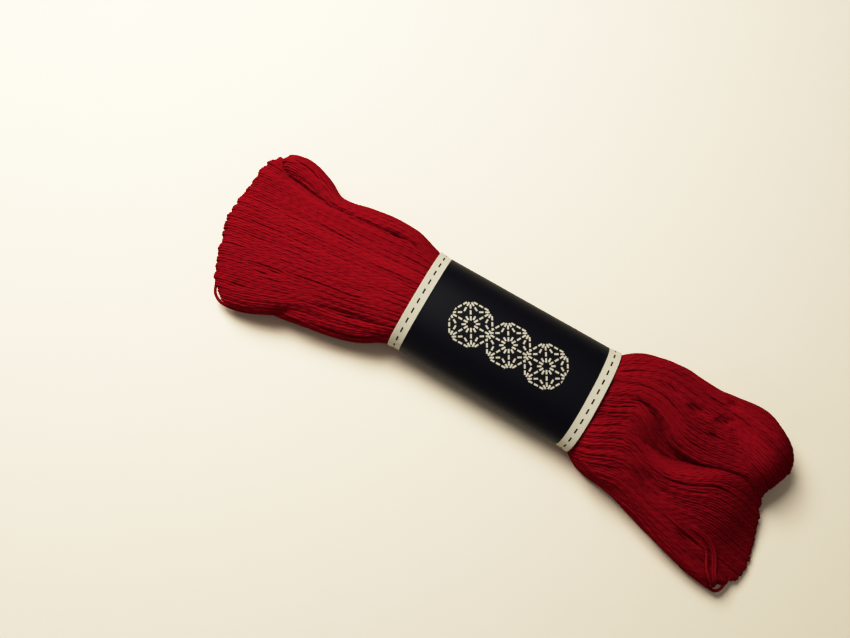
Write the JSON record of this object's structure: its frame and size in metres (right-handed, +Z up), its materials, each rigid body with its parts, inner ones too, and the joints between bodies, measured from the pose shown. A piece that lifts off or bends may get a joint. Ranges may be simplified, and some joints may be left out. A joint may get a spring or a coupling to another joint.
{
  "type": "skein of sashiko thread",
  "caption": "Flat hank of red cotton embroidery thread with looped ends, drawn in at its middle by a navy paper band with pale stitched borders.",
  "frame": {"origin": "on the table under the middle of the skein's box", "axes": "+X along the hank towards its two-lobed end, +Y across it towards the rolled edge, +Z up from the table"},
  "size_m": [0.147, 0.0426, 0.015],
  "materials": {
    "thread": "soft matte cotton",
    "band_paper": "printed paper with a faint sheen"
  },
  "bodies": {
    "root": {"hank": "thread", "band": "band_paper"}
  },
  "joints": []
}
